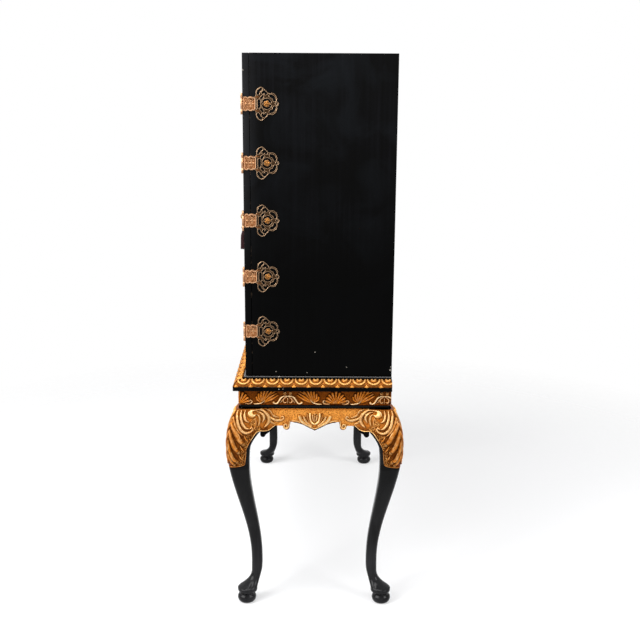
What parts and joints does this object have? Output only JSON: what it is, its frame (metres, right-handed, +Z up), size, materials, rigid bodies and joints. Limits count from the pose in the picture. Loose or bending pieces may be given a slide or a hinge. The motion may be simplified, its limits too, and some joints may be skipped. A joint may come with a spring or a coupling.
{
  "type": "cocktail cabinet",
  "caption": "Lacquered cocktail cabinet with hinged doors, pierced brass hinges, keyed lock and mirrored interior, on a carved gilt stand with shaped aprons and cabriole legs.",
  "frame": {"origin": "on the floor, under the middle of the stand", "axes": "+Z up; the doors face -Y; +X is to the right of someone facing the doors"},
  "size_m": [1.2216, 0.5084, 1.6],
  "materials": {
    "black_lacquer": "black lacquer, polished",
    "gilt_wood": "carved and gilded, worn",
    "gilt_brass": "gilded, tarnished",
    "steel": "filed",
    "mahogany": "polished",
    "mirror_glass": "silvered",
    "shelf_glass": "polished",
    "silk": "silk thread"
  },
  "bodies": {
    "cabinet": {"leg_front_left": "gilt_wood", "leg_front_right": "gilt_wood", "leg_back_left": "gilt_wood", "leg_back_right": "gilt_wood", "apron_front": "gilt_wood", "apron_back": "gilt_wood", "apron_left": "gilt_wood", "apron_right": "gilt_wood", "waist_bead_front": "black_lacquer", "waist_bead_back": "black_lacquer", "waist_bead_left": "black_lacquer", "waist_bead_right": "black_lacquer", "frieze_front": "gilt_wood", "frieze_back": "gilt_wood", "frieze_left": "gilt_wood", "frieze_right": "gilt_wood", "stand_top": "black_lacquer", "top_moulding_front": "gilt_wood", "top_moulding_left": "gilt_wood", "top_moulding_right": "gilt_wood", "case_floor": "black_lacquer", "case_side_left": "black_lacquer", "case_side_right": "black_lacquer", "case_top": "black_lacquer", "case_back": "black_lacquer", "shelf": "mahogany", "bottle_divider": "mahogany", "mirror": "mirror_glass", "glass_shelf": "shelf_glass", "hinge_right_1_case_leaf": "gilt_brass", "hinge_right_2_case_leaf": "gilt_brass", "hinge_right_3_case_leaf": "gilt_brass", "hinge_right_4_case_leaf": "gilt_brass", "hinge_right_5_case_leaf": "gilt_brass", "hinge_left_1_case_leaf": "gilt_brass", "hinge_left_2_case_leaf": "gilt_brass", "hinge_left_3_case_leaf": "gilt_brass", "hinge_left_4_case_leaf": "gilt_brass", "hinge_left_5_case_leaf": "gilt_brass"},
    "door_right": {"door_right": "black_lacquer", "lock_plate_right": "gilt_brass", "lock_case": "gilt_brass", "hinge_right_1_door_leaf": "gilt_brass", "hinge_right_2_door_leaf": "gilt_brass", "hinge_right_3_door_leaf": "gilt_brass", "hinge_right_4_door_leaf": "gilt_brass", "hinge_right_5_door_leaf": "gilt_brass"},
    "door_left": {"door_left": "black_lacquer", "lock_plate_left": "gilt_brass", "door_bolt_guide": "gilt_brass", "hinge_left_1_door_leaf": "gilt_brass", "hinge_left_2_door_leaf": "gilt_brass", "hinge_left_3_door_leaf": "gilt_brass", "hinge_left_4_door_leaf": "gilt_brass", "hinge_left_5_door_leaf": "gilt_brass"},
    "lock_bolt": {"lock_bolt": "steel"},
    "key": {"key": "gilt_brass"},
    "tassel": {"tassel": "silk"},
    "door_bolt": {"door_bolt": "gilt_brass"}
  },
  "joints": [
    {"name": "door_right_swing", "type": "hinge", "parent": "cabinet", "child": "door_right", "pos_m": [0.5572, -0.2007, 1.155], "axis": [0, 0, 1], "range_deg": [0, 180]},
    {"name": "door_left_swing", "type": "hinge", "parent": "cabinet", "child": "door_left", "pos_m": [-0.5572, -0.2007, 1.155], "axis": [0, 0, -1], "range_deg": [0, 180]},
    {"name": "key_turn", "type": "hinge", "parent": "door_right", "child": "key", "pos_m": [0.03, -0.1985, 1.1], "axis": [0, 1, 0], "range_deg": [0, 65]},
    {"name": "lock_bolt_slide", "type": "slide", "parent": "door_right", "child": "lock_bolt", "axis": [-1, 0, 0], "range_m": [0, 0.009]},
    {"name": "tassel_swing", "type": "hinge", "parent": "key", "child": "tassel", "pos_m": [0.03, -0.2395, 1.091], "axis": [0, 1, 0], "range_deg": [-65, 0]},
    {"name": "door_bolt_slide", "type": "slide", "parent": "door_left", "child": "door_bolt", "axis": [0, 0, 1], "range_m": [0, 0.012]}
  ],
  "couplings": [
    {"joint": "lock_bolt_slide", "follows": "key_turn", "m_per_rad": 0.00793},
    {"joint": "tassel_swing", "follows": "key_turn", "ratio": -1}
  ]
}
